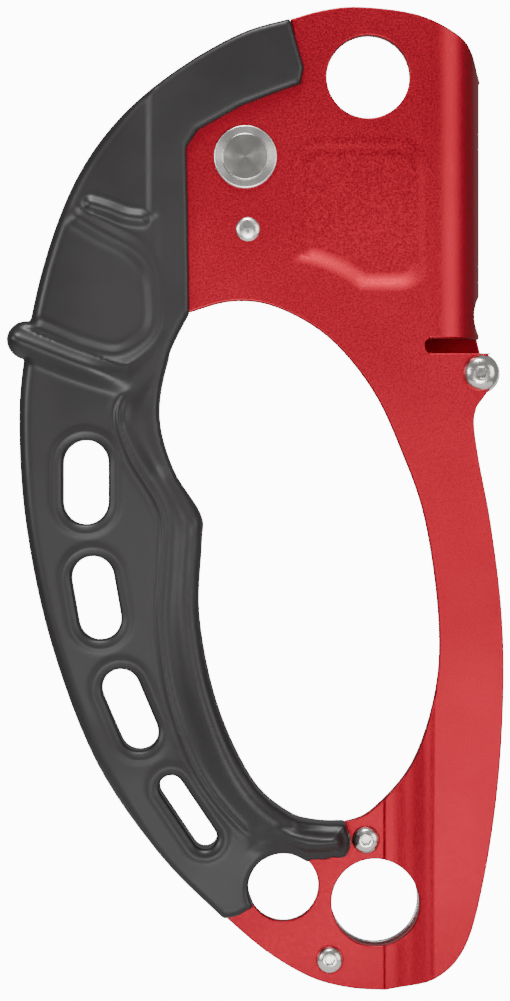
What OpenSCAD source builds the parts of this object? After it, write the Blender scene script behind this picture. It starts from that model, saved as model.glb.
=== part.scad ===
// Handled rope ascender: a bent aluminium plate with a rubber handle, a toothed cam and two rollers.
// Origin: centre of the main eye on the rope's plane. +Z is up the rope, -Y is the closed back.

/* [Overall] */
// Height of the hand opening
hand_h = 108.6; // [90.5:0.1:132]
// Width of the hand opening
hand_w = 50.2; // [41.8:0.1:60.4]
// Largest rope that the channel takes
rope_d = 13; // [11:0.5:15]

/* [Plate] */
// Thickness of the aluminium plate
plate_t = 3.8; // [3:0.1:4.6]
// Radial room between the largest rope and the channel
rope_gap = 0.25; // [0.2:0.05:0.6]
// How far the eye pad is set back from the main plane
joggle = 4; // [3:0.5:5]
// Height of the raised panel
panel_h = 0.5; // [0.4:0.1:1.6]

/* [Eyes] */
// Diameter of the main eye
main_eye_d = 18.2; // [15:0.2:20]
// Diameter of the foot loop eye
foot_eye_d = 14.6; // [12:0.2:16]
// Diameter of the top eye
top_eye_d = 17.2; // [14:0.2:20]

/* [Grip] */
// Thickness of the grip's flat web
web_t = 8.6; // [7:0.2:11]
// Thickness of the palm roll
roll_t = 18; // [14:0.5:24]
// How far the palm roll stands out of the closed back
roll_rise = 2.4; // [1:0.1:5]
// Rubber over the plate's edges
skin_t = 3.2; // [2.5:0.1:4]

/* [Cam] */
// Width of the cam
cam_w = 10; // [8:0.5:11]
// How far the cam opens, in degrees
cam_open = 42; // [36:1:44]
// Diameter of the cam's rivet
rivet_d = 8; // [7:0.2:9]
// Length of a tooth
tooth_h = 1.3; // [0.8:0.1:1.6]

/* [Rollers] */
// Outer diameter of the upper roller
upper_roller_d = 8.6; // [8:0.1:10]
// Outer diameter of the lower roller
lower_roller_d = 7.6; // [7:0.1:8]
// Thickness of the lower steel cheek
cheek_t = 2; // [1.5:0.1:3]
// Gap between the eye pad and the steel cheek
cheek_gap = 6; // [5:0.1:8]
// Running clearance between turning parts
run_gap = 0.05; // [0.03:0.01:0.1]
// End float beside a roller or the cam
side_gap = 0.2; // [0.15:0.05:0.4]

/* [Hidden] */
$fn = 64;
eps = 0.01;
big = 400;
smooth = 6;

// Planes across the rope, along Y
channel_r = rope_d / 2 + rope_gap;
flank_r = channel_r + plate_t;
back_y = -flank_r;
inner_y = -channel_r;
pad_back_y = back_y + joggle;
pad_front_y = inner_y + joggle;
cheek_y = pad_front_y + cheek_gap;
mid_y = (back_y + inner_y) / 2;

// The lower part stays in place and the upper part moves up with the hand opening
nominal_h = 108.6;
nominal_w = 50.2;
stretch_low = 25;
stretch_high = 92;
extra_h = hand_h - nominal_h;
extra_w = hand_w - nominal_w;
function unit(v) = min(1, max(0, v));
function lift(z) = z + extra_h * unit((z - stretch_low) / (stretch_high - stretch_low));
arm_low = 118;
arm_high = 126;
arm_side = -41;
// The hand opening widens to the left, and above it only what is left of the cam moves
function widen(x, z) = let (above = unit((z - arm_low) / (arm_high - arm_low)))
    x - extra_w * unit((z - 12) / 25)
        * (unit((5 - x) / 35) * (1 - above) + unit((arm_side - x) / 20) * above);
function fit(points) = [for (p = points) [widen(p.x, p.y), lift(p.y)]];

// Places seen along Y, as [x, z]
channel_x = 11.4;
flank_x = channel_x + flank_r;
top_eye = [-1.6, 171.9 + extra_h];
pivot = [-27.1, 155.2 + extra_h];
stop_at = [-26.6, 140.2 + extra_h];
roller_reach = 0.75;
upper_at = [channel_x + channel_r + upper_roller_d / 2 - roller_reach, 110.4 + extra_h];
lower_at = [-1.95, main_eye_d / 2 + lower_roller_d / 2 + 0.2];
foot_eye = [-19.2, 3.5];
screw_b = [-9.5, -main_eye_d / 2 - 2.8];
slot_low = upper_at.y + 4.1;
slot_high = slot_low + 3.1;
front_slot_low = slot_high + 1.4;
front_slot_high = front_slot_low + 3.1;
slot_end_x = 10.2;
lip_x = 4.5;
step_x = 1.9;
bend_x = 12.5;
step_h = 0.5;
joggle_skew = 1.5;

// Screws: clearance, head and nut sizes
m4 = 4;
m3 = 3;
thread_gap = 0.1;
m4_head_d = 7.4;
m3_head_d = 5.8;
m4_nut_w = 7;
m3_nut_w = 5.5;

// Curves ------------------------------------------------------------------------------------

// A point on the smooth curve between p1 and p2, at t from 0 to 1
function between(p0, p1, p2, p3, t) =
    0.5 * (2 * p1 + (p2 - p0) * t + (2 * p0 - 5 * p1 + 4 * p2 - p3) * t * t
        + (3 * p1 - p0 - 3 * p2 + p3) * t * t * t);

// A smooth curve through every point of an open list
function curve(p) = let (n = len(p)) concat(
    [for (i = [0 : n - 2], k = [0 : smooth - 1])
        between(p[max(0, i - 1)], p[i], p[i + 1], p[min(n - 1, i + 2)], k / smooth)],
    [p[n - 1]]);

// A smooth curve through every point of a closed list
function loop(p) = let (n = len(p))
    [for (i = [0 : n - 1], k = [0 : smooth - 1])
        between(p[(i + n - 1) % n], p[i], p[(i + 1) % n], p[(i + 2) % n], k / smooth)];

// A curve moved sideways, to its right when d is positive
function aside(p, d) = let (n = len(p))
    [for (i = [0 : n - 1])
        let (run = p[min(n - 1, i + 1)] - p[max(0, i - 1)])
        p[i] + d * [run.y, -run.x] / norm(run)];

function ring_point(r, a) = r * [cos(a), sin(a)];
function reversed(p) = [for (i = [len(p) - 1 : -1 : 0]) p[i]];

// Outlines, clockwise ------------------------------------------------------------------------

// The hand opening: the metal side, then the finger side of the grip
metal_edge = fit([[-38.7, 123], [-30, 125.3], [-20.9, 124.2], [-10, 118], [-0.8, 107.1],
    [5.4, 94], [10.2, 79.9], [13, 60], [12.4, 44.6], [7.5, 29], [-0.8, 19.3], [-6.6, 16.8]]);
finger_edge = fit([[-6.6, 16.8], [-12, 16.9], [-18.3, 18.7], [-26.1, 25.9], [-33.3, 42],
    [-36.9, 60], [-36.4, 75], [-36.6, 81], [-42.3, 90.3], [-45.2, 101.5], [-43.2, 113.5],
    [-38.7, 123]]);
metal_curve = curve(metal_edge);
finger_curve = curve(finger_edge);

// The outside of the handle, from the top down to the foot loop eye
handle_edge = fit([[-17.8, 183.8], [-28, 180.8], [-41, 173.4], [-53.4, 163.2], [-62.5, 150.2],
    [-69, 133], [-73, 114], [-74.1, 99], [-72.6, 78.2], [-67.4, 54], [-58, 29.5], [-44.6, 10.2],
    [-31.6, -2.8]]);
handle_curve = curve(handle_edge);

// The right side of the plate below the channel
member_edge = concat([for (a = [70 : -20 : -30]) upper_at + ring_point(3.6, a)],
    curve(concat([[upper_at.x - 0.7, upper_at.y - 7], [upper_at.x - 1.3, upper_at.y - 10.5]],
    fit([[21.4, 92.3], [23.9, 79], [26.1, 61], [26.5, 44], [25.3, 24.3], [22.4, 5],
    [18.5, -8.9], [12, -15.6], [1.9, -18.3]]))));
pad_edge = curve([[1.9, -18.3], [-5.5, -17.8], [-13.6, -15.6], [-22.8, -10.2], [-31.6, -2.8]]);
top_edge = [[-17.8, 183.8], [-11, 185.7], [-3.5, 186.4], [7.5, 185.1], [15.1, 182],
    [19.7, 178.3], [22, 171]];
lip_edge = [[22, 172], [19.8, 168.6], [15, 165.4], [9, 162.8], [5.6, 159.6], [lip_x, 155]];
scallop_r = 8;
scallop_depth = 1.2;

function raise(points) = [for (p = points) [p.x, p.y + extra_h]];
function to_flank(points) = [for (p = points) [p.x + (flank_x - 21.95) * unit((p.x - 10) / 12), p.y]];

// Slots through the grip's web: centre, width, height and tilt
slots = [[[-60.2, 87.7], 9.4, 17.4, 0], [[-58, 63.7], 8.8, 17.4, 10],
    [[-51, 40.5], 7.8, 17.6, 23], [[-39, 19.3], 5, 17.4, 34]];

module slot_shape(slot, extra = 0) {
    middle = fit([slot[0]])[0];
    r = slot[1] / 2 + extra;
    half = slot[2] / 2 + extra - r;
    translate(middle) rotate(slot[3]) {
        square([2 * r, 2 * half], center = true);
        for (side = [-1, 1]) translate([0, side * half]) circle(r);
    }
}

// Extrudes a shape drawn in X and Z from y0 to y1
module along_y(y0, y1) {
    translate([0, y1, 0]) rotate([90, 0, 0]) linear_extrude(y1 - y0) children();
}

// A round bar or bore along Y at a place [x, z]
module bar(at, r, y0, y1) {
    translate([at.x, y1, at.y]) rotate([90, 0, 0]) cylinder(r = r, h = y1 - y0);
}

// A turned shape about Y: the outline holds [radius, y]
module turned(at, outline) {
    translate([at.x, 0, at.y]) rotate([-90, 0, 0]) rotate_extrude() polygon(outline);
}

// Plate --------------------------------------------------------------------------------------

// The plate's whole face, seen from the back
module plate_face(top, floor_z) {
    polygon(concat(
        curve(to_flank(raise(top))),
        [[flank_x + 2, top_edge[6].y + extra_h - 1], [flank_x + 2, slot_low]],
        member_edge, pad_edge,
        reversed(aside(handle_curve, -skin_t))));
}

module plate_openings() {
    polygon(concat(metal_curve, aside(finger_curve, -skin_t)));
    for (slot = slots) slot_shape(slot, 1.6);
    translate([slot_end_x + 1.55, slot_low]) square([big, slot_high - slot_low]);
    translate([slot_end_x + 1.55, slot_low + 1.55]) circle(1.55);
    translate([flank_x + scallop_r - scallop_depth, slot_low + 8]) circle(scallop_r);
}

// The front half of the channel and the lug that holds the upper roller's far end
module lip_face() {
    polygon(concat(
        curve(to_flank(raise(lip_edge))),
        [[lip_x, upper_at.y + 2], [lip_x + 3, upper_at.y - 4], [upper_at.x, upper_at.y - 3.6]],
        [for (a = [-70 : 20 : 80]) upper_at + ring_point(3.6, a)],
        [[upper_at.x, front_slot_low], [channel_x, front_slot_low], [channel_x, front_slot_high],
        [flank_x + 2, front_slot_high],
        [flank_x + 2, lip_edge[0].y + extra_h - 1]]));
}

// A band of plate that steps towards +Y between u0 and u1, drawn as [u, y]
module stepped(u0, u1, reach, lift_back) {
    steps = 12;
    function wave(k) = joggle * (0.5 + 0.5 * cos(180 * pow(k / steps, joggle_skew)));
    function at(k) = u0 + (u1 - u0) * k / steps;
    polygon(concat(
        [[u0 - reach, pad_back_y + lift_back], [u0, pad_back_y + lift_back]],
        [for (k = [0 : steps]) [at(k), back_y + wave(k)]],
        [[u1 + reach, back_y], [u1 + reach, inner_y]],
        [for (k = [steps : -1 : 0]) [at(k), inner_y + wave(k)]],
        [[u0 - reach, pad_front_y]]));
}

fold_low = 24;
fold_high = 34;
fold_split_x = -13;
band_high = 46;

// The space that the bent plate fills below the channel
module member_space() {
    translate([0, 0, -60]) linear_extrude(60 + band_high) intersection() {
        stepped(step_x, bend_x, 200, step_h);
        translate([fold_split_x, -50]) square([big, 100]);
    }
    rotate([90, 0, 90]) translate([0, 0, -big / 2]) linear_extrude(big / 2 + fold_split_x)
        mirror([1, 0]) rotate(90) stepped(fold_low, fold_high, 200, step_h);
    translate([fold_split_x - 1, back_y, band_high]) cube([60, plate_t, slot_low - band_high]);
}

module channel_space(front) {
    intersection() {
        difference() {
            translate([channel_x, 0, 0]) cylinder(r = flank_r, h = big);
            translate([channel_x, 0, -1]) cylinder(r = channel_r, h = big + 2);
        }
        translate([channel_x, front ? 0 : -flank_r - 1, -1]) cube([40, flank_r + 1, big + 2]);
    }
}

panel_low = [-15, 130.5];
panel_high = [8.3, 156.2];
panel_slope = 2.4;
panel_corner = 3.5;
panel_notch_r = 30;
panel_notch = [-20.4, 106.6];

// The raised panel: grow widens it at its foot
module panel(y0, grow) {
    centre = [panel_notch.x, panel_notch.y + extra_h];
    difference() {
        hull() for (x = [panel_low.x, panel_high.x], z = [panel_low.y, panel_high.y])
            translate([x + sign(-3 - x) * panel_corner, y0, z + extra_h + sign(143 - z) * panel_corner])
            rotate([90, 0, 0]) cylinder(r1 = panel_corner + grow, r2 = panel_corner, h = panel_h, $fn = 32);
        translate([centre.x, y0 + eps, centre.y]) rotate([90, 0, 0])
            cylinder(r1 = panel_notch_r - grow, r2 = panel_notch_r + 0.1, h = panel_h + 2 * eps);
    }
}

module frame_body() {
    intersection() {
        along_y(back_y - 1, flank_r + 1) difference() {
            plate_face(top_edge);
            plate_openings();
        }
        union() {
            member_space();
            translate([-150, back_y, slot_low - eps]) cube([150 + channel_x, plate_t, big]);
            translate([0, 0, slot_high - eps]) channel_space(false);
        }
    }
    intersection() {
        along_y(-eps, flank_r + 1) difference() {
            lip_face();
            translate([flank_x + scallop_r - scallop_depth, slot_low + 8]) circle(scallop_r);
        }
        union() {
            translate([lip_x - 1, channel_r, 0]) cube([channel_x - lip_x + 1, plate_t, big]);
            translate([channel_x - 1, channel_r, 0]) cube([30, plate_t, front_slot_low]);
            translate([0, 0, front_slot_high]) channel_space(true);
        }
    }
}

module frame() {
    color("crimson") difference() {
        union() {
            frame_body();
            panel(back_y, panel_slope);
        }
        panel(inner_y + eps, panel_slope);
        bar(top_eye, top_eye_d / 2, back_y - 1, 0);
        bar([0, 0], main_eye_d / 2, back_y - 1, 0);
        bar(foot_eye, foot_eye_d / 2, back_y - 1, 0);
        bar(pivot, rivet_d / 2, back_y - 1, 0);
        bar(stop_at, stop_r, back_y - 1, 0);
        bar(upper_at, m4 / 2 + thread_gap, back_y - 1, flank_r + 1);
        bar(lower_at, m3 / 2 + thread_gap, back_y - 1, 0);
        bar(screw_b, m3 / 2 + thread_gap, back_y - 1, 0);
    }
}

// Grip ---------------------------------------------------------------------------------------

roller_room = 0.8;
grip_back_y = mid_y - web_t / 2;
grip_front_y = mid_y + web_t / 2;
roll_back_y = grip_back_y - roll_rise;
arm_edge = fit([[-38.7, 123], [-39, 145], [-39.3, 157], [-37, 160.6], [-28, 165.6],
    [-21, 168.3], [-15.6, 170.2], [-14.9, 173.6], [-16.1, 177.8], [-17.8, 183.8]]);
finger_end = fit([[-6.6, 16.8], [-5.4, 13.4], [-6.4, 10.2], [-9.3, 10]]);
seam_edge = fit([[-43.2, 113.5], [-52.6, 104], [-51, 94], [-44.2, 82], [-43.8, 71.6],
    [-44.4, 57], [-41.6, 40], [-35, 25], [-24, 13.2], [-14, 10]]);

module grip_face() {
    difference() {
        union() {
            polygon(concat(handle_curve, [[-28.6, -2.2], foot_eye, [-12, 8.8]],
                reversed(curve(finger_end)), finger_curve, arm_edge));
            translate(foot_eye) circle(foot_eye_d / 2);
        }
        translate(foot_eye) circle(foot_eye_d / 2);
        polygon([foot_eye, foot_eye + [-9.2, -5.8], foot_eye + [0, -30], foot_eye + [30, -30],
            foot_eye + [30, 6], foot_eye + [5.6, 6]]);
        for (slot = slots) slot_shape(slot);
    }
}

module grip() {
    bump_at = fit([[-72.6, 117.2]])[0];
    color("dimgray") difference() {
        union() {
            along_y(grip_back_y, grip_front_y) grip_face();
            along_y(pad_back_y - 4, pad_front_y + 3) intersection() {
                grip_face();
                translate([-150, -100]) square([300, 100 + fold_high + 4]);
            }
            along_y(roll_back_y, roll_back_y + roll_t) intersection() {
                grip_face();
                polygon(concat(finger_curve, curve(seam_edge)));
            }
            bar(bump_at, 4, grip_back_y - 1, grip_front_y + 1);
        }
        frame_body();
        bar(foot_eye, foot_eye_d / 2, -big, big);
        bar(lower_at, lower_roller_d / 2 + roller_room, pad_front_y, big);
    }
}

// Cam ----------------------------------------------------------------------------------------

bush_t = 1;
hub_r = rivet_d / 2 + bush_t + 4;
cam_y0 = -cam_w / 2;
cam_y1 = cam_w / 2;
contact_angle = -23;
reach_closed = 43.7;
spiral = tan(-contact_angle);
face_low = -32;
face_high = 9;
function face_r(a) = reach_closed * exp(spiral * (contact_angle - a) * PI / 180);
function cam_point(r, a) = pivot + ring_point(r, a);
stop_r = 1.5;
stop_dist = norm(stop_at - pivot);
stop_angle = atan2(stop_at.y - pivot.y, stop_at.x - pivot.x);
stop_span = asin(stop_r / stop_dist);
flank_angle = stop_angle + stop_span + cam_open + 0.6;
heel_angle = stop_angle - stop_span - 0.6;
catch_at = cam_point(22, -43);
catch_r = 1.5;
catch_w = 4;
lobe_r = 4.4;
fork_r = 13;
heel_y0 = -1;
nose_gap = 15.5;
nose_r0 = stop_dist + stop_r - 1.3;
nose_r1 = nose_r0 + 3.2;
tab_reach = [-6, -12];
tab_y0 = -2;
tab_y1 = 8;

module cam_face() {
    face = [for (a = [face_low : 2 : face_high]) cam_point(face_r(a), a)];
    difference() {
        union() {
            translate(pivot) circle(hub_r);
            polygon(concat([cam_point(hub_r, 80), cam_point(hub_r, flank_angle - 4)],
                [cam_point(30, face_low - 1)], face, [cam_point(30, 16)]));
        }
        translate(cam_point(27, -12)) rotate(-12) {
            square([12, 4.4], center = true);
            for (side = [-6, 6]) translate([side, 0]) circle(2.2);
        }
    }
}

module cam() {
    color("silver") difference() {
        union() {
            along_y(cam_y0, cam_y1) cam_face();
            along_y(heel_y0, cam_y1) polygon([cam_point(hub_r - 2, heel_angle - 34),
                cam_point(stop_dist, heel_angle - 12), cam_point(stop_dist + 0.6, heel_angle),
                cam_point(hub_r - 2, heel_angle)]);
            bar(catch_at, lobe_r, cam_y0, cam_y1);
            for (a = [face_low + 2 : 4 : face_high - 1], y = [-3.4, 0, 3.4])
                translate([cam_point(face_r(a) - 0.3, a).x, y, cam_point(face_r(a) - 0.3, a).y])
                rotate([0, 90 - a - 24, 0]) cylinder(r1 = 1.2, r2 = 0.15, h = tooth_h + 0.3, $fn = 16);
        }
        bar(pivot, rivet_d / 2 + bush_t, -20, 20);
        turned(pivot, [[rivet_d / 2 + bush_t - eps, inner_y], [hub_r - 1.2, inner_y],
            [hub_r - 1.2, cam_y0 + 2.4], [rivet_d / 2 + bush_t - eps, cam_y0 + 2.4]]);
        bar(catch_at, catch_r, -20, 20);
        bar(catch_at, fork_r, -catch_w / 2 - side_gap, catch_w / 2 + side_gap);
    }
}

module cam_bush() {
    color("darkgoldenrod") difference() {
        bar(pivot, rivet_d / 2 + bush_t, inner_y + side_gap, cam_y1);
        bar(pivot, rivet_d / 2 + run_gap, -20, 20);
    }
}

module cam_rivet() {
    head_r = rivet_d / 2 + 2.6;
    color("lightgray") union() {
        turned(pivot, [[0, back_y - 1.5], [4.7, back_y - 1.3], [4.9, back_y - 1.1], [4.9, back_y - 0.8],
            [rivet_d / 2, back_y - 0.8], [rivet_d / 2, cam_y1 + side_gap],
            [head_r, cam_y1 + side_gap], [head_r, cam_y1 + 1.6], [head_r - 0.8, cam_y1 + 2.2],
            [0, cam_y1 + 2.2]]);
    }
}

module rivet_washer() {
    color("silver") turned(pivot, [[rivet_d / 2, back_y - 0.8], [6.2, back_y - 0.8],
        [6.6, back_y - 0.5], [6.6, back_y], [rivet_d / 2, back_y]]);
}

spring_wire = 0.9;
spring_turns = 2;

// Torsion spring round the bush: touching turns, with one leg to the stop pin
module cam_spring() {
    mid_r = rivet_d / 2 + bush_t + 0.35 + spring_wire / 2;
    y0 = inner_y + side_gap + spring_wire / 2;
    color("gainsboro") union() {
        for (k = [0 : spring_turns - 1])
            translate([pivot.x, y0 + k * spring_wire * 0.96, pivot.y]) rotate([90, 0, 0])
            rotate_extrude() translate([mid_r, 0]) circle(spring_wire / 2, $fn = 24);
        translate([pivot.x + mid_r * cos(stop_angle - 20), y0, pivot.y + mid_r * sin(stop_angle - 20)])
            rotate([0, 180 + 6, 0]) cylinder(r = spring_wire / 2, h = stop_dist - mid_r - 1, $fn = 24);
    }
}

module stop_pin() {
    color("lightgray") turned(stop_at, [[0, back_y - 0.7], [1.4, back_y - 0.6], [2.2, back_y - 0.35],
        [2.6, back_y], [stop_r, back_y], [stop_r, cam_y1 - 1], [stop_r - 0.4, cam_y1 - 0.6],
        [0, cam_y1 - 0.6]]);
}

// Safety catch: a nose that stands beside the stop pin, and a tab for the thumb
module safety_catch() {
    nose_angle = stop_angle + stop_span + nose_gap;
    tab = catch_at + tab_reach;
    color("silver") difference() {
        union() {
            along_y(-catch_w / 2, catch_w / 2) {
                translate(catch_at) circle(3.4);
                polygon([catch_at + [0, 3.4], cam_point(nose_r0, nose_angle),
                    cam_point(nose_r1, nose_angle), catch_at + [-1, -3.2]]);
                polygon([catch_at + [-7.6, -0.5], catch_at + [-1, -3.1], tab + [2.2, 0], tab + [-2.2, 0]]);
                translate(tab) circle(2.2);
            }
            bar(tab, 2.2, tab_y0, tab_y1);
        }
        bar(catch_at, catch_r + run_gap, -20, 20);
    }
}

module catch_pin() {
    color("lightgray") bar(catch_at, catch_r, cam_y0 - 0.3, cam_y1 + 0.3);
}

module catch_spring() {
    color("gainsboro") translate([catch_at.x, cam_y1 + 0.3 + 0.35, catch_at.y]) union() {
        rotate([90, 0, 0]) rotate_extrude() translate([catch_r + 0.7, 0]) circle(0.35, $fn = 16);
        translate([catch_r + 0.7, 0, 0]) rotate([0, 180, 0]) cylinder(r = 0.35, h = 7, $fn = 16);
    }
}

// Rollers ------------------------------------------------------------------------------------

module roller(at, d, y0, y1, bore_r, groove_r, rows) {
    difference() {
        turned(at, [[bore_r, y0], [d / 2 - 0.3, y0], [d / 2, y0 + 0.3], [d / 2, y1 - 0.3],
            [d / 2 - 0.3, y1], [bore_r, y1]]);
        for (y = rows) translate([at.x, y, at.y]) rotate([90, 0, 0]) rotate_extrude()
            translate([groove_r, 0]) circle(ball_r + run_gap);
    }
}

module race(at, bore_r, outer_r, y0, y1, groove_r, rows) {
    difference() {
        bar(at, outer_r, y0, y1);
        bar(at, bore_r, y0 - 1, y1 + 1);
        for (y = rows) translate([at.x, y, at.y]) rotate([90, 0, 0]) rotate_extrude()
            translate([groove_r, 0]) circle(ball_r + run_gap);
    }
}

module balls(at, groove_r, rows, count) {
    for (y = rows, k = [0 : count - 1])
        translate([at.x + groove_r * cos(360 * k / count), y, at.y + groove_r * sin(360 * k / count)])
        sphere(ball_r, $fn = 32);
}

// Washers at both ends of a race
module shims(at, bore_r, outer_r, y0, y1, t) {
    for (y = [y0, y1 - t]) difference() {
        bar(at, outer_r, y, y + t);
        bar(at, bore_r, y - 1, y + t + 1);
    }
}

// Button head screw whose head seats on head_y and whose shank ends at end_y
module button_screw(at, d, head_d, head_y, end_y) {
    head_h = head_d * 0.3;
    head_r = head_d / 2;
    color("lightgray") difference() {
        turned(at, [[0, head_y - head_h], [head_r * 0.45, head_y - head_h],
            [head_r * 0.75, head_y - head_h * 0.8], [head_r * 0.93, head_y - head_h * 0.48],
            [head_r, head_y - head_h * 0.15], [head_r, head_y], [d / 2, head_y],
            [d / 2, end_y - 0.3], [d / 2 - 0.3, end_y], [0, end_y]]);
        translate([at.x, head_y - head_h * 0.25, at.y]) rotate([90, 0, 0])
            cylinder(r = head_r * 0.36, h = head_h, $fn = 6);
    }
}

module hex_nut(at, d, width, y0, t) {
    color("lightgray") difference() {
        translate([at.x, y0 + t, at.y]) rotate([90, 0, 0]) intersection() {
            cylinder(r = width / sqrt(3), h = t, $fn = 6);
            translate([0, 0, t]) mirror([0, 0, 1]) cylinder(r1 = width * 0.53, r2 = width * 0.53 + t, h = t);
        }
        bar(at, d / 2, y0 - 1, y0 + t + 1);
    }
}

ball_r = 0.6;
shim_t = 0.5;
upper_groove_r = m4 / 2 + 0.9;
upper_y0 = inner_y + shim_t;
upper_y1 = channel_r - shim_t;
upper_rows = [upper_y0 + 2.4, upper_y1 - 2.4];
lower_groove_r = m3 / 2 + 0.9;
lower_y0 = pad_front_y + shim_t;
lower_y1 = cheek_y - shim_t;
lower_rows = [(lower_y0 + lower_y1) / 2];
race_wall = 0.55;
race_gap = 0.35;

module upper_roller() {
    color("silver") roller(upper_at, upper_roller_d, upper_y0 + side_gap, upper_y1 - side_gap,
        m4 / 2 + race_wall + race_gap * 2, upper_groove_r, upper_rows);
}

module upper_race() {
    color("gray") race(upper_at, m4 / 2, m4 / 2 + race_wall, upper_y0, upper_y1,
        upper_groove_r, upper_rows);
}

module upper_balls() {
    color("white") balls(upper_at, upper_groove_r, upper_rows, 11);
}

module upper_shims() {
    color("lightgray") shims(upper_at, m4 / 2, m4 / 2 + 1, inner_y, channel_r, shim_t);
}

module upper_screw() {
    button_screw(upper_at, m4, m4_head_d, back_y, flank_r + 3.4);
}

module upper_nut() {
    hex_nut(upper_at, m4, m4_nut_w, flank_r, 2.9);
}

module lower_roller() {
    color("silver") roller(lower_at, lower_roller_d, lower_y0 + side_gap, lower_y1 - side_gap,
        m3 / 2 + race_wall + race_gap * 2, lower_groove_r, lower_rows);
}

module lower_race() {
    color("gray") race(lower_at, m3 / 2, m3 / 2 + race_wall, lower_y0, lower_y1,
        lower_groove_r, lower_rows);
}

module lower_balls() {
    color("white") balls(lower_at, lower_groove_r, lower_rows, 9);
}

module lower_shims() {
    color("lightgray") shims(lower_at, m3 / 2, m3 / 2 + 1, pad_front_y, cheek_y, shim_t);
}

module lower_screw() {
    button_screw(lower_at, m3, m3_head_d, pad_back_y + step_h, cheek_y + cheek_t + 2.8);
}

module lower_nut() {
    hex_nut(lower_at, m3, m3_nut_w, cheek_y + cheek_t, 2.4);
}

// Lower cheek --------------------------------------------------------------------------------

module steel_cheek() {
    ring_r = main_eye_d / 2 + 4.6;
    boss_r = 3.7;
    color("lightsteelblue") difference() {
        along_y(cheek_y, cheek_y + cheek_t) difference() {
            union() {
                intersection() {
                    circle(ring_r);
                    translate([-40, -40]) square([51, 80]);
                }
                translate(lower_at) circle(boss_r);
                translate(screw_b) circle(4.4);
                translate([lower_at.x - boss_r + 0.1, main_eye_d / 2])
                    square([2 * boss_r - 0.2, lower_at.y - main_eye_d / 2]);
            }
            translate(foot_eye) circle(foot_eye_d / 2 + 0.6);
        }
        bar([0, 0], main_eye_d / 2, -20, 20);
        bar(lower_at, m3 / 2 + thread_gap, -20, 20);
        bar(screw_b, m3 / 2 + thread_gap, -20, 20);
    }
}

module cheek_spacer() {
    color("silver") difference() {
        bar(screw_b, 2.6, pad_front_y, cheek_y);
        bar(screw_b, m3 / 2, -20, 20);
    }
}

module cheek_screw() {
    button_screw(screw_b, m3, m3_head_d, pad_back_y + step_h, cheek_y + cheek_t + 2.8);
}

module cheek_nut() {
    hex_nut(screw_b, m3, m3_nut_w, cheek_y + cheek_t, 2.4);
}

frame();
grip();
cam();
cam_bush();
cam_spring();
cam_rivet();
rivet_washer();
stop_pin();
safety_catch();
catch_pin();
catch_spring();
upper_roller();
upper_balls();
upper_race();
upper_shims();
upper_screw();
upper_nut();
lower_roller();
lower_balls();
lower_race();
lower_shims();
lower_screw();
lower_nut();
steel_cheek();
cheek_spacer();
cheek_screw();
cheek_nut();
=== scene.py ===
# %% [markdown]
# # A handled rope ascender
# This tool climbs a rope: a hand pushes it up by the rubber handle, and a sprung cam with small teeth
# holds it there. We see its closed back, which is one plate of red anodised aluminium, bent round the
# rope on the right. The imported model gives every part its size and place, so the first cell loads it
# and keeps its box.

# %% Load the model
import math

import bmesh
import bpy
import numpy as np
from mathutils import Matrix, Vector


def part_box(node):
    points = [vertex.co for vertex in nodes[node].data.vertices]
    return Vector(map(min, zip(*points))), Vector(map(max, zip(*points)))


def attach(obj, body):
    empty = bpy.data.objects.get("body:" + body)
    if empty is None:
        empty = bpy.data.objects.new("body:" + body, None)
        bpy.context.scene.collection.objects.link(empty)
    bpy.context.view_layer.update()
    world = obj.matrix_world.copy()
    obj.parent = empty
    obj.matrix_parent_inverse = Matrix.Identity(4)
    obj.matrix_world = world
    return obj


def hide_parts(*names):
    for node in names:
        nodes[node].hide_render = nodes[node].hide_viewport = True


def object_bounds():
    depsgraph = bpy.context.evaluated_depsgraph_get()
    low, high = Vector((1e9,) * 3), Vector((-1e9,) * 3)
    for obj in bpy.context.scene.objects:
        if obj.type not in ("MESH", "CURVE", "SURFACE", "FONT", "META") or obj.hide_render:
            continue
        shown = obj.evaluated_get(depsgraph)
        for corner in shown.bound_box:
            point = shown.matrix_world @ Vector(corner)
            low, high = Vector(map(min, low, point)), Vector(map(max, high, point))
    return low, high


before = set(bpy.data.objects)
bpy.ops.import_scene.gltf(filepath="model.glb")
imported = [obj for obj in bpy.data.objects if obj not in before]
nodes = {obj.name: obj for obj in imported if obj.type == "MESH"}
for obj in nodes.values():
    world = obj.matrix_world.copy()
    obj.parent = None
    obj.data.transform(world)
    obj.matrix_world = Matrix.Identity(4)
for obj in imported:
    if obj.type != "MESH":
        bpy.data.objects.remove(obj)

import openvdb
from mathutils import Vector

MM = 0.001
cad_low, cad_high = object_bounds()
print("model box in mm:", [round(v / MM, 1) for v in cad_high - cad_low])


# %% [markdown]
# ## Finding places on the model
# Nothing is placed by eye where the model can say where it is. `centre` gives the middle of a node's
# box, which for a turned part is a point on its axis.

# %% Places
def centre(node):
    low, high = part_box(node)
    return (low + high) / 2


pivot = centre("rivet_washer")
plate_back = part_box("rivet_washer")[1].y
print("cam pivot in mm:", [round(v / MM, 1) for v in pivot], "plate back:", round(plate_back / MM, 2))


# %% [markdown]
# ## Colours and shader nodes
# Colours are written as the hex values a designer would pick, and Blender wants linear light, so one
# function converts them. Another adds any shader node with its settings and links. Every
# pattern in a material starts from a size in millimetres, which `per_mm` turns into a texture scale:
# object coordinates are in metres here, so a feature of one millimetre needs a scale of about 1000.

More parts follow.
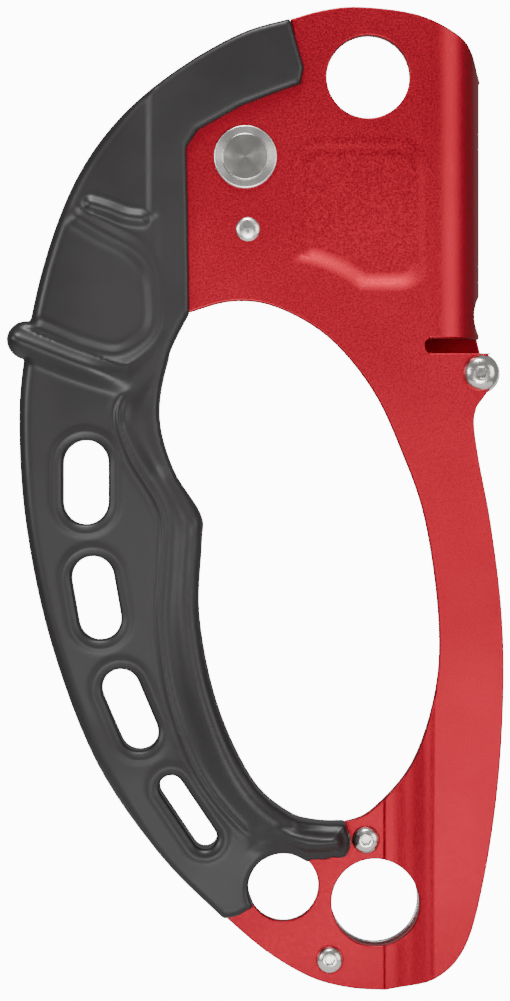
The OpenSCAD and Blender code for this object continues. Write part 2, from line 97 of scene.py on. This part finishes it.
# %% Material helpers
def linear(hex_code):
    parts = [int(hex_code[i:i + 2], 16) / 255 for i in (1, 3, 5)]
    light = [c / 12.92 if c <= 0.04045 else ((c + 0.055) / 1.055) ** 2.4 for c in parts]
    return (*light, 1.0)


def per_mm(size_mm):
    return 1 / (size_mm * MM)


def grey(value):
    return (value, value, value, 1)


def add_node(tree, kind, links=(), feeds=(), stops=(), **settings):
    """Adds a node. A setting is an input's name with _ for spaces, or the node's own property. Its
    first output goes into each of the feeds. The stops are the places and colours of a ramp."""
    node = tree.nodes.new(kind)
    for name, value in settings.items():
        socket = node.inputs.get(name.replace("_", " "))
        if socket is not None:
            socket.default_value = value
        else:
            setattr(node, name, value)
    for source, target in links:
        tree.links.new(source, node.inputs[target])
    for other, target in feeds:
        tree.links.new(node.outputs[0], other.inputs[target])
    for number, (position, colour) in enumerate(stops):
        node.color_ramp.elements[number].position = position
        node.color_ramp.elements[number].color = colour
    return node


def new_material(name, **shader):
    """A material with a principled shader, the object's own coordinates and both ends wired up."""
    made = bpy.data.materials.new(name)
    made.use_nodes = True
    tree = made.node_tree
    tree.nodes.clear()
    body = add_node(tree, "ShaderNodeBsdfPrincipled", **shader)
    out = add_node(tree, "ShaderNodeOutputMaterial", [(body.outputs[0], "Surface")])
    place = add_node(tree, "ShaderNodeTexCoord").outputs["Object"]
    return made, tree, body, place


print("white is", linear("#ffffff"), "and one millimetre is a scale of", per_mm(1))


# %% [markdown]
# ## Red anodised aluminium
# The plate is blanked and bent from aluminium, blasted with fine glass beads, anodised and dyed. The
# blasting leaves a grain of about a tenth of a millimetre, drawn here at three times that so that it
# shows. The dye sits in a clear oxide, so this is a coloured metal whose highlights are red, under a
# clear coat whose own weak highlights are white: that is the pale haze on the flat faces. Roughness and
# depth of colour vary a little from place to place, as a dye bath leaves them.

# %% Anodised plate
def anodised_aluminium(name, dark, bright, roughness):
    made, tree, body, place = new_material(name, Metallic=1.0, Roughness=roughness, Coat_Weight=0.15,
                                           Coat_Roughness=roughness - 0.05)
    cloud = add_node(tree, "ShaderNodeTexNoise", [(place, "Vector")], Scale=per_mm(40), Detail=3.0)
    colour = add_node(tree, "ShaderNodeValToRGB", [(cloud.outputs["Fac"], "Fac")],
                      stops=[(0.3, linear(dark)), (0.7, linear(bright))])
    grain = add_node(tree, "ShaderNodeTexNoise", [(place, "Vector")], Scale=per_mm(0.35), Detail=2.0)
    speck = add_node(tree, "ShaderNodeValToRGB", [(grain.outputs["Fac"], "Fac")],
                     stops=[(0.35, grey(0.88)), (0.65, grey(1.1))])
    add_node(tree, "ShaderNodeVectorMath", [(colour.outputs[0], 0), (speck.outputs[0], 1)],
             feeds=[(body, "Base Color")], operation="MULTIPLY")
    add_node(tree, "ShaderNodeValToRGB", [(grain.outputs["Fac"], "Fac")],
             feeds=[(body, "Roughness")],
             stops=[(0.35, grey(roughness - 0.06)), (0.65, grey(roughness + 0.08))])
    add_node(tree, "ShaderNodeBump", [(grain.outputs["Fac"], "Height")], feeds=[(body, "Normal")],
             Strength=0.25, Distance=0.02 * MM)
    return made


red_plate = anodised_aluminium("anodised_aluminium_bead_blasted", "#a01326", "#b71b2f", 0.42)
print("made", red_plate.name)


# %% [markdown]
# ## Moulded rubber
# The grip is a thermoplastic rubber moulded straight onto the plate. The mould was spark eroded, which
# leaves a fine, even, satin texture of about 0.2 mm. Rubber is a dielectric of IOR 1.5 and is quite
# rough, so a soft light gives it a grey sheen on every edge. A faint cloudiness stands for the dust
# and handling marks that rubber always shows.

# %% Rubber
def moulded_rubber(name, dark, bright):
    made, tree, body, place = new_material(name, IOR=1.5, Roughness=0.42)
    cloud = add_node(tree, "ShaderNodeTexNoise", [(place, "Vector")], Scale=per_mm(25), Detail=4.0)
    add_node(tree, "ShaderNodeValToRGB", [(cloud.outputs["Fac"], "Fac")],
             feeds=[(body, "Base Color")],
             stops=[(0.3, linear(dark)), (0.75, linear(bright))])
    add_node(tree, "ShaderNodeValToRGB", [(cloud.outputs["Fac"], "Fac")],
             feeds=[(body, "Roughness")], stops=[(0.35, grey(0.38)), (0.65, grey(0.48))])
    texture = add_node(tree, "ShaderNodeTexNoise", [(place, "Vector")], Scale=per_mm(0.4), Detail=2.0)
    add_node(tree, "ShaderNodeBump", [(texture.outputs["Fac"], "Height")], feeds=[(body, "Normal")],
             Strength=0.3, Distance=0.02 * MM)
    return made


rubber = moulded_rubber("thermoplastic_rubber_moulded", "#171415", "#1e1b1c")
print("made", rubber.name)


# %% [markdown]
# ## Stainless steels
# All the bright parts are stainless, but each was made in its own way. Turned parts keep fine rings
# from the lathe, cast parts were tumbled and have a soft, uneven skin, rolled sheet has straight
# scratches, drawn wire is smooth along its length, and screws are cold formed and nearly polished.

# %% Steel finishes
WAVES = math.tau / 20  # a wave texture of this scale repeats once in each unit


def turned_steel(name, axis_at, ring_mm, roughness, tint):
    """Rings about an axis along Y through a point. Light stretches across the rings, as on a lathe
    turned face, so the tangent of the gloss runs round the axis."""
    made, tree, body, place = new_material(name, Metallic=1.0, Base_Color=linear(tint),
                                           Roughness=roughness, Anisotropic=0.75)
    shifted = add_node(tree, "ShaderNodeMapping", [(place, "Vector")], Location=-axis_at)
    round_axis = add_node(tree, "ShaderNodeVectorMath", [(shifted.outputs[0], 0)],
                          operation="CROSS_PRODUCT")
    round_axis.inputs[1].default_value = (0, 1, 0)
    along = add_node(tree, "ShaderNodeVectorMath", [(round_axis.outputs[0], 0)], operation="NORMALIZE")
    tree.links.new(along.outputs[0], body.inputs["Tangent"])
    rings = add_node(tree, "ShaderNodeTexWave", [(shifted.outputs[0], "Vector")], wave_type="RINGS",
                     rings_direction="Y", Scale=per_mm(ring_mm) * WAVES, Distortion=0.3, Detail=1.0)
    speck = add_node(tree, "ShaderNodeTexNoise", [(place, "Vector")], Scale=per_mm(3), Detail=2.0)
    add_node(tree, "ShaderNodeValToRGB", [(speck.outputs["Fac"], "Fac")],
             feeds=[(body, "Roughness")],
             stops=[(0.35, grey(roughness - 0.02)), (0.65, grey(roughness + 0.06))])
    add_node(tree, "ShaderNodeBump", [(rings.outputs["Fac"], "Height")], feeds=[(body, "Normal")],
             Strength=0.2, Distance=0.008 * MM)
    return made


def tumbled_steel(name, roughness, lump_mm, tint="#b9b7b2"):
    made, tree, body, place = new_material(name, Metallic=1.0, Roughness=roughness)
    lumps = add_node(tree, "ShaderNodeTexNoise", [(place, "Vector")], Scale=per_mm(lump_mm), Detail=5.0)
    add_node(tree, "ShaderNodeValToRGB", [(lumps.outputs["Fac"], "Fac")],
             feeds=[(body, "Base Color")],
             stops=[(0.35, linear("#8f8d89")), (0.65, linear(tint))])
    add_node(tree, "ShaderNodeValToRGB", [(lumps.outputs["Fac"], "Fac")],
             feeds=[(body, "Roughness")],
             stops=[(0.35, grey(roughness + 0.12)), (0.65, grey(roughness - 0.04))])
    add_node(tree, "ShaderNodeBump", [(lumps.outputs["Fac"], "Height")], feeds=[(body, "Normal")],
             Strength=0.4, Distance=0.05 * MM)
    return made


def rolled_steel(name, roughness, scratch_mm, tint="#c6c7c8"):
    made, tree, body, place = new_material(name, Metallic=1.0, Base_Color=linear(tint),
                                           Roughness=roughness)
    drawn = add_node(tree, "ShaderNodeMapping", [(place, "Vector")], Scale=(0.04, 1, 1))
    lines = add_node(tree, "ShaderNodeTexNoise", [(drawn.outputs[0], "Vector")],
                     Scale=per_mm(scratch_mm), Detail=3.0)
    add_node(tree, "ShaderNodeValToRGB", [(lines.outputs["Fac"], "Fac")],
             feeds=[(body, "Roughness")],
             stops=[(0.35, grey(roughness - 0.06)), (0.65, grey(roughness + 0.1))])
    add_node(tree, "ShaderNodeBump", [(lines.outputs["Fac"], "Height")], feeds=[(body, "Normal")],
             Strength=0.3, Distance=0.01 * MM)
    return made


def polished_steel(name, roughness, tint="#d2d0cb"):
    made, tree, body, place = new_material(name, Metallic=1.0, Base_Color=linear(tint),
                                           Roughness=roughness)
    haze = add_node(tree, "ShaderNodeTexNoise", [(place, "Vector")], Scale=per_mm(0.8), Detail=4.0)
    add_node(tree, "ShaderNodeValToRGB", [(haze.outputs["Fac"], "Fac")],
             feeds=[(body, "Roughness")],
             stops=[(0.35, grey(roughness - 0.04)), (0.65, grey(roughness + 0.08))])
    add_node(tree, "ShaderNodeBump", [(haze.outputs["Fac"], "Height")], feeds=[(body, "Normal")],
             Strength=0.15, Distance=0.01 * MM)
    return made


def sintered_bronze(name):
    made, tree, body, place = new_material(name, Metallic=1.0, Roughness=0.42)
    pores = add_node(tree, "ShaderNodeTexVoronoi", [(place, "Vector")], Scale=per_mm(0.25))
    add_node(tree, "ShaderNodeValToRGB", [(pores.outputs["Distance"], "Fac")],
             feeds=[(body, "Base Color")],
             stops=[(0.1, linear("#6d4a1e")), (0.5, linear("#b98a45"))])
    add_node(tree, "ShaderNodeBump", [(pores.outputs["Distance"], "Height")], feeds=[(body, "Normal")],
             Strength=0.4, Distance=0.02 * MM)
    return made


cast_stainless = tumbled_steel("stainless_cast_and_tumbled", 0.3, 1.5)
rolled_stainless = rolled_steel("stainless_sheet_rolled", 0.28, 0.15)
screw_stainless = polished_steel("stainless_screw_cold_formed", 0.2)
bearing_steel = polished_steel("bearing_steel_ground", 0.12, "#dad9d6")
spring_steel = polished_steel("spring_wire_drawn", 0.3, "#a9a8a4")
bronze = sintered_bronze("bronze_sintered")
print("made", len(bpy.data.materials), "materials")


# %% [markdown]
# ## Dressing the model's own parts
# The plate, the pins and the screws already have their true shape, so they keep it and get a finish.
# No real edge is perfectly sharp: a bevel of a few tenths of a millimetre catches the light along each
# one. The model comes in as triangles with split corners, so they are welded and flat areas are
# joined first, or the bevel would follow every triangle.

# %% Finish a part
def soften(obj, name, width_mm, segments):
    edge = obj.modifiers.new(name, "BEVEL")
    edge.width = width_mm * MM
    edge.segments = segments
    edge.use_clamp_overlap = False
    return edge


def dress(node, material, edge_mm=0.15, segments=2, pressed_mm=0):
    obj = nodes[node]
    obj.data.materials.clear()
    obj.data.materials.append(material)
    for face in obj.data.polygons:
        face.use_smooth = True
    weld = obj.modifiers.new("join_corners", "WELD")
    weld.merge_threshold = 1e-6
    if edge_mm:
        flat = obj.modifiers.new("join_flat_faces", "DECIMATE")
        flat.decimate_type = "DISSOLVE"
        flat.angle_limit = math.radians(0.5)
        if pressed_mm:
            soften(obj, "pressed_edges", pressed_mm, 4).limit_method = "WEIGHT"
        edge = soften(obj, "soft_edges", edge_mm, segments)
        edge.limit_method = "ANGLE"
        edge.angle_limit = math.radians(40)
    shade = obj.modifiers.new("even_shading", "WEIGHTED_NORMAL")
    shade.weight = 100
    shade.keep_sharp = False
    return obj


def turned(node, edge_mm=0.12, roughness=0.22, tint="#e4e2de"):
    steel = turned_steel("stainless_turned_" + node, centre(node), 0.3, roughness, tint)
    return dress(node, steel, edge_mm)


# The pressed panel stands proud of the plate's back. Its edges are drawn, not cut, so the level edges
# round its foot and its top get a wider bevel, through a bevel weight on just those edges.
PANEL_LOWEST = 0.25 * MM   # half the height of the panel, so that it picks the panel's top
PANEL_MARGIN = 3 * MM      # enough to take in the panel's foot
plate_mesh = nodes["frame"].data
heights = np.array([p.co.y for p in plate_mesh.vertices])
places = np.array([p.co for p in plate_mesh.vertices])
proud = places[heights < plate_back - PANEL_LOWEST]
low_corner, high_corner = proud.min(axis=0) - PANEL_MARGIN, proud.max(axis=0) + PANEL_MARGIN
near_panel = ((places > low_corner) & (places < high_corner))[:, [0, 2]].all(axis=1)
near_panel &= heights < plate_back + 0.02 * MM
weights = plate_mesh.attributes.new("bevel_weight_edge", "FLOAT", "EDGE")
for edge, weight in zip(plate_mesh.edges, weights.data):
    first, last = edge.vertices
    level = abs(heights[first] - heights[last]) < 0.01 * MM
    weight.value = float(level and near_panel[first] and near_panel[last])
print("panel from", np.round(low_corner / MM, 1), "to", np.round(high_corner / MM, 1), "mm")
dress("frame", red_plate, 0.35, 3, 0.85)
for node in ("cam", "safety_catch"):
    dress(node, cast_stainless, 0.2)
dress("steel_cheek", rolled_stainless, 0.25)
for node in ("upper_screw", "lower_screw", "cheek_screw", "upper_nut", "lower_nut", "cheek_nut"):
    dress(node, screw_stainless, 0.1)
for node in ("upper_balls", "lower_balls", "upper_race", "lower_race"):
    dress(node, bearing_steel, 0)
for node in ("cam_spring", "catch_spring"):
    dress(node, spring_steel, 0)
dress("cam_bush", bronze, 0.1)
for node in ("rivet_washer", "stop_pin", "catch_pin", "upper_roller", "lower_roller",
             "upper_shims", "lower_shims", "cheek_spacer"):
    turned(node)
turned("cam_rivet", roughness=0.18, tint="#c6c4bf")
print("dressed", sum(1 for o in nodes.values() if o.modifiers), "parts")


# %% [markdown]
# ## The rubber grip
# The grip is a soft, rounded shape with ribs, a thick roll for the palm and four slots with raised
# lips. Such a moulding is hard to build face by face, so it is described as a field instead: at every
# point of a fine grid we work out how far the rubber's surface is. Fields are easy to add, cut and
# blend, and the surface is then read off where the distance is zero. The outlines come from slices of
# the model's own grip, so the moulding has its place, its slots and its size.

# %% Outlines from slices of the model
def slice_at(node, y):
    """The cut edges of a node at one height, as pairs of [x, z] in mm. The split corners are welded
    first, so that neighbouring edges end in the same place."""
    mesh = bmesh.new()
    mesh.from_mesh(nodes[node].data)
    bmesh.ops.remove_doubles(mesh, verts=mesh.verts, dist=1e-6)
    everything = mesh.verts[:] + mesh.edges[:] + mesh.faces[:]
    cut = bmesh.ops.bisect_plane(mesh, geom=everything, plane_co=(0, y, 0), plane_no=(0, 1, 0))
    edges = [e for e in cut["geom_cut"] if isinstance(e, bmesh.types.BMEdge)]
    pairs = np.array([[(v.co.x / MM, v.co.z / MM) for v in e.verts] for e in edges])
    mesh.free()
    return pairs


grip_low, grip_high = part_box("grip")
web_back = plate_back - 2.4 * MM   # the rubber's flat back, behind the plate
outline = slice_at("grip", web_back + MM)
roll_outline = slice_at("grip", grip_low.y + MM)
print("outline edges:", len(outline), "palm roll edges:", len(roll_outline))

# %% The grid and its distances
STEP = 0.5
xs = np.arange(grip_low.x / MM - 2, grip_high.x / MM + 2, STEP)
zs = np.arange(grip_low.z / MM - 2, grip_high.z / MM + 2, STEP)
ys = np.arange(grip_low.y / MM - 1.5, grip_high.y / MM + 1.5, STEP)
flat_x, flat_z = np.meshgrid(xs, zs, indexing="ij")


def to_segments(pairs):
    """Distance from each point of the flat grid to the nearest of some straight pieces."""
    best = np.full(flat_x.shape, 1e9)
    for (ax, az), (bx, bz) in pairs:
        run_x, run_z = bx - ax, bz - az
        length = run_x * run_x + run_z * run_z
        if length < 1e-12:
            continue
        along = np.clip(((flat_x - ax) * run_x + (flat_z - az) * run_z) / length, 0, 1)
        gap = (flat_x - ax - along * run_x) ** 2 + (flat_z - az - along * run_z) ** 2
        best = np.minimum(best, gap)
    return np.sqrt(best)


def signed(pairs):
    """Distance to a closed outline, negative inside it."""
    inside = np.zeros(flat_x.shape, bool)
    for (ax, az), (bx, bz) in pairs:
        if az == bz:
            continue
        crosses = (flat_z > min(az, bz)) & (flat_z <= max(az, bz))
        inside ^= crosses & (flat_x < ax + (flat_z - az) * (bx - ax) / (bz - az))
    return np.where(inside, -1, 1) * to_segments(pairs)


web_flat = signed(outline)
roll_flat = signed(roll_outline)
print("grid:", xs.size, "x", ys.size, "x", zs.size)
print("deepest point of the roll:", round(-roll_flat.min(), 1), "mm")

# %% [markdown]
# ## From distances to a solid
# A flat outline becomes a slab with rounded edges, and two solids can melt together with a fillet.
# These are the standard operations on distance fields, and each is one line of arithmetic.

# %% Solids from outlines
Y = ys[None, :, None]


def between(value, start, end):
    """Goes smoothly from 0 at start to 1 at end."""
    share = np.clip((value - start) / (end - start), 0, 1)
    return share * share * (3 - 2 * share)


def rounded_slab(flat, middle, half, rounding):
    side = flat[:, None, :] + rounding
    face = np.abs(Y - middle) - half + rounding
    outside = np.hypot(np.maximum(side, 0), np.maximum(face, 0))
    return outside + np.minimum(np.maximum(side, face), 0) - rounding


def melt(first, second, fillet):
    share = np.clip(0.5 + 0.5 * (second - first) / fillet, 0, 1)
    return second * (1 - share) + first * share - fillet * share * (1 - share)


def cut(solid, hole, rounding):
    return -melt(-solid, hole, rounding)


print("the grid runs in y from", round(ys[0], 1), "to", round(ys[-1], 1), "mm")


# %% [markdown]
# ## Ribs and pockets
# The upper half of the grip has two shallow pockets with a raised border, a short pill-shaped rib
# between them and one fat rib below them that reaches the outer edge as a finger stop. Each is drawn
# as a path with a width and a height, and only changes how thick the rubber is at that place. A path
# is a smooth curve through a few points, in millimetres from the lower eye's middle.

# %% Relief of the upper half
def path(points, pieces=8):
    """Straight pieces of a smooth curve through the points."""
    way = [points[0], *points, points[-1]]
    line = []
    for a, b, c, d in zip(way, way[1:], way[2:], way[3:]):
        a, b, c, d = map(np.array, (a, b, c, d))
        for t in np.arange(pieces) / pieces:
            line.append(0.5 * (2 * b + (c - a) * t + (2 * a - 5 * b + 4 * c - d) * t * t
                               + (3 * b - a - 3 * c + d) * t ** 3))
    line.append(np.array(points[-1], float))
    return list(zip(line, line[1:]))


def rib(points, half_width, height):
    reach = np.clip(to_segments(path(points)) / half_width, 0, 1)
    return height * (0.5 + 0.5 * np.cos(np.pi * reach))


def raised(corners, soft, height):
    distance = signed(list(zip(corners, corners[1:] + corners[:1])))
    return height * between(-distance, -soft / 2, soft / 2)


palm_side = raised([(-45.8, 195), (-45.8, 143), (-45, 138), (-45.2, 119), (-47.5, 115), (-52, 110.5),
                    (-52.4, 100), (-46, 90), (20, 90), (20, 195)], 3.6, 0.55)
pill_rib = rib([(-59.2, 145.3), (-55.6, 144.2), (-52, 142.8), (-48.6, 142.3)], 2.4, 1.0)
border_rib = rib([(-61.6, 142.4), (-57.3, 139.8), (-50.6, 136.2), (-46.9, 132), (-45.8, 126), (-46, 120),
                  (-48.8, 116.3), (-54, 114), (-61, 115.5), (-67, 118), (-74, 121)], 3.0, 0.8)
upper_rib = rib([(-45.9, 169), (-45.9, 156), (-45.9, 143.5)], 2.4, 0.65)
finger_stop = rib([(-75.5, 117.6), (-69.3, 115.2), (-62.7, 112.6), (-56.2, 110.4), (-50, 108.2),
                   (-42, 105)], 4.2, 2.2) * (1 - between(flat_x, -60, -46))
relief = np.maximum.reduce([palm_side, pill_rib, border_rib, upper_rib, finger_stop])
print("ribs stand up to", round(relief.max(), 2), "mm proud")


# %% [markdown]
# ## Slots and seam
# Four slots lighten the handle. Each has a rounded rim and, a little further out, a low lip. The palm
# roll meets the flat part of the handle in a thin bead, where the two halves of the mould met.

# %% Slot lips and seam bead
def loops(pairs):
    """Splits the cut edges of a slice into closed loops."""
    meets = {}
    for number, pair in enumerate(pairs):
        for end in pair:
            meets.setdefault(tuple(np.round(end, 3)), set()).add(number)
    left, found = set(range(len(pairs))), []
    while left:
        todo, loop = [left.pop()], []
        while todo:
            number = todo.pop()
            loop.append(pairs[number])
            for end in pairs[number]:
                near = meets[tuple(np.round(end, 3))] & left
                left -= near
                todo += sorted(near)
        found.append(np.array(loop))
    return found


def area(loop):
    span = loop.reshape(-1, 2).max(axis=0) - loop.reshape(-1, 2).min(axis=0)
    return span[0] * span[1]


def on_grid(field, pairs):
    """The value of a flat field at the middle of each piece."""
    column, row = np.round((pairs.mean(axis=1) - (xs[0], zs[0])) / STEP).astype(int).T
    return field[column, row]


*slots, rim = sorted(loops(outline), key=area)
rim_flat = signed(rim)
slot_flat = np.minimum.reduce([signed(slot) for slot in slots])
seam = roll_outline[on_grid(rim_flat, roll_outline) < -1]
seam_flat = to_segments(seam) * (roll_flat < 0)
slot_lip = 0.25 * between(1.2 - np.abs(slot_flat - 1.9), 0, 1.2)
seam_bead = 0.6 * between(0.8 - np.abs(roll_flat - 0.4), 0, 0.8)
seam_groove = 0.15 * between(0.8 - np.abs(roll_flat - 1.8), 0, 0.8)
seam_ends = between(flat_z, 12, 20) * between(flat_z, 107, 102)
relief = relief + slot_lip + (seam_bead - seam_groove) * seam_ends
print("slots:", len(slots), "with boxes of", [round(area(slot)) for slot in slots], "square mm")

# %% [markdown]
# The web is the flat part of the handle, with the plate inside it. It is thicker at the foot, where the
# plate steps towards the front, and its outer edge is rounder than the one along the plate. The palm
# roll starts flush at its seam and rises over 9 mm to its full thickness, and a short arm carries it
# on to the right. A round well leaves room for the lower roller.

# %% Web, roll and arm
PLATE_HALF = 1.9
WEB_HALF = 3.5
FOOT_HALF = 2.9    # more than the web's
FOOT_SHIFT = 2.3   # towards the front
ARM_BOX = (-28, 9.6, 24)   # its left end, and its lowest and highest z
plate_middle = plate_back / MM + PLATE_HALF
foot = between(flat_z, 40, 26)
middle = plate_middle + FOOT_SHIFT * foot
web_half = WEB_HALF + FOOT_HALF * foot + relief
edge_round = 1.1 + 1.5 * between(-flat_x, 44, 56)
web = rounded_slab(rim_flat, middle[:, None, :], web_half[:, None, :], edge_round[:, None, :])
arm_left, arm_low, arm_high = ARM_BOX
arm_flat = np.maximum.reduce([web_flat, arm_low - flat_z, flat_z - arm_high, arm_left - flat_x])
arm_rise = between(-arm_flat, -0.6, 3.4) * between(flat_x, -27, -15)
rise = np.maximum(between(seam_flat, 0, 9), arm_rise) * (1 - between(flat_z, 80, 108))
full_middle = (grip_high.y + grip_low.y) / MM / 2
full_half = (grip_high.y - grip_low.y) / MM / 2
palm_half = web_half + (full_half - web_half) * rise
palm_middle = middle + (full_middle - middle) * rise
palm_flat = np.minimum(roll_flat, arm_flat)
roll = rounded_slab(palm_flat, palm_middle[:, None, :], palm_half[:, None, :], 4.0)
print("the roll is", round(2 * full_half, 1), "mm thick, the web", 2 * WEB_HALF, "mm")

# %% The moulding
ROLLER_GAP = 0.8
END_GAP = 0.3
body = melt(web, roll, 1.2)
body = cut(body, slot_flat[:, None, :], 1.2)
roller = centre("lower_roller") / MM
roller_low, roller_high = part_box("lower_roller")
well_radius = (roller_high.x - roller_low.x) / MM / 2 + ROLLER_GAP
well = np.hypot(xs[:, None, None] - roller.x, zs[None, None, :] - roller.z) - well_radius
well = np.maximum(well, roller_low.y / MM - END_GAP - Y)
body = cut(body, well, 0.4)
print("grid points inside the rubber:", int((body < 0).sum()), "of", body.size)


# %% [markdown]
# The surface is read off the field with the volume library that comes with Blender. Its points are
# counted in grid steps, so they are scaled and shifted back to their place.

# %% From field to mesh
def surface_of(field, name, start, step_mm):
    grid = openvdb.FloatGrid()
    grid.copyFromArray(np.ascontiguousarray(field, dtype=np.float32))
    points, quads = grid.convertToQuads(isovalue=0.0)
    mesh = bpy.data.meshes.new(name)
    places = (points * step_mm + np.array(start)) * MM
    mesh.from_pydata(places.tolist(), [], quads[:, ::-1].tolist())
    mesh.polygons.foreach_set("use_smooth", [True] * len(mesh.polygons))
    obj = bpy.data.objects.new(name, mesh)
    bpy.context.scene.collection.objects.link(obj)
    return obj


grip = surface_of(body, "moulded_grip", (xs[0], ys[0], zs[0]), STEP)
grip.data.materials.append(rubber)
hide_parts("grip")
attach(grip, "frame")
print("grip faces:", len(grip.data.polygons))


# %% [markdown]
# ## Light and camera
# The object hangs in a white room above a small white board, as products are often shown. A softbox
# at the right gives the bent channel its broad band, one at the left opens the shadows of the rubber,
# one above draws the highlights on the ribs, and one low in front lights the flat faces, more and more
# towards the bottom.

# %% Floor
def painted_white(name, roughness):
    made, tree, paint, place = new_material(name, Base_Color=linear("#fbfbfb"), Roughness=roughness)
    grain = add_node(tree, "ShaderNodeTexNoise", [(place, "Vector")], Scale=per_mm(2))
    add_node(tree, "ShaderNodeBump", [(grain.outputs["Fac"], "Height")], feeds=[(paint, "Normal")],
             Strength=0.05, Distance=0.05 * MM)
    return made


FLOOR_GAP = 40 * MM
FLOOR_RADIUS = 250 * MM
floor_z = cad_low.z - FLOOR_GAP
bpy.ops.mesh.primitive_circle_add(vertices=96, radius=FLOOR_RADIUS, fill_type="NGON",
                                  location=(0, 0, floor_z))
floor = bpy.context.object
floor.name = "floor"
floor.data.materials.append(painted_white("board_painted_matt_white", 0.9))
print("floor at", round(floor_z / MM, 1), "mm")


# %% Lights
def softbox(name, azimuth, elevation, distance, size, power):
    """A square area light that faces the middle of the object. Azimuth 0 is straight in front."""
    target = (cad_low + cad_high) / 2
    turn, rise = math.radians(azimuth), math.radians(elevation)
    aim = Vector((math.sin(turn) * math.cos(rise), -math.cos(turn) * math.cos(rise), math.sin(rise)))
    data = bpy.data.lights.new(name, "AREA")
    data.shape = "SQUARE"
    data.size = size
    data.energy = power
    lamp = bpy.data.objects.new(name, data)
    lamp.location = target + aim * distance
    lamp.rotation_euler = aim.to_track_quat("Z", "Y").to_euler()
    bpy.context.scene.collection.objects.link(lamp)
    return lamp


softbox("key_right", 50, 8, 1.0, 0.6, 3.6)
softbox("low_front", 2, -22, 1.0, 0.4, 5.8)
softbox("strip_left", -50, 10, 1.0, 0.35, 3.8)
softbox("top", -8, 62, 0.9, 0.3, 7.0)


# %% [markdown]
# The room is white where it is seen and much dimmer as a light, as if black cards stood round the
# object just outside the view. Without them the metal would mirror white from every side and
# lose its depth.

# %% Room
def room(seen, seen_strength, lit_strength):
    world = bpy.data.worlds.new("white_room")
    world.use_nodes = True
    tree = world.node_tree
    tree.nodes.clear()
    backdrop = add_node(tree, "ShaderNodeBackground", Color=linear(seen), Strength=seen_strength)
    light = add_node(tree, "ShaderNodeBackground", Color=linear(seen), Strength=lit_strength)
    path_info = add_node(tree, "ShaderNodeLightPath")
    mix = add_node(tree, "ShaderNodeMixShader", [(path_info.outputs["Is Camera Ray"], 0),
                   (light.outputs[0], 1), (backdrop.outputs[0], 2)])
    add_node(tree, "ShaderNodeOutputWorld", [(mix.outputs[0], "Surface")])
    return world


bpy.context.scene.world = room("#ffffff", 12.0, 0.3)

# %% [markdown]
# The camera looks straight at the closed back from about 0.8 m, at the height of the hand. Its lens
# is chosen so that the view is 208 mm high at the plate, a little more than the object.

# %% Camera
VIEW_HEIGHT = 207.7 * MM
CAMERA_GAP = 0.8
camera_data = bpy.data.cameras.new("camera")
camera_data.sensor_fit = "VERTICAL"
camera_data.sensor_height = 36
camera_data.lens = camera_data.sensor_height * CAMERA_GAP / VIEW_HEIGHT
camera_data.clip_start = 0.01
camera = bpy.data.objects.new("camera", camera_data)
camera.location = (-25.1 * MM, plate_back - CAMERA_GAP, 83.9 * MM)
camera.rotation_euler = (math.radians(90), 0, 0)
bpy.context.scene.collection.objects.link(camera)
bpy.context.scene.camera = camera
print("lens in mm:", round(camera_data.lens, 1))
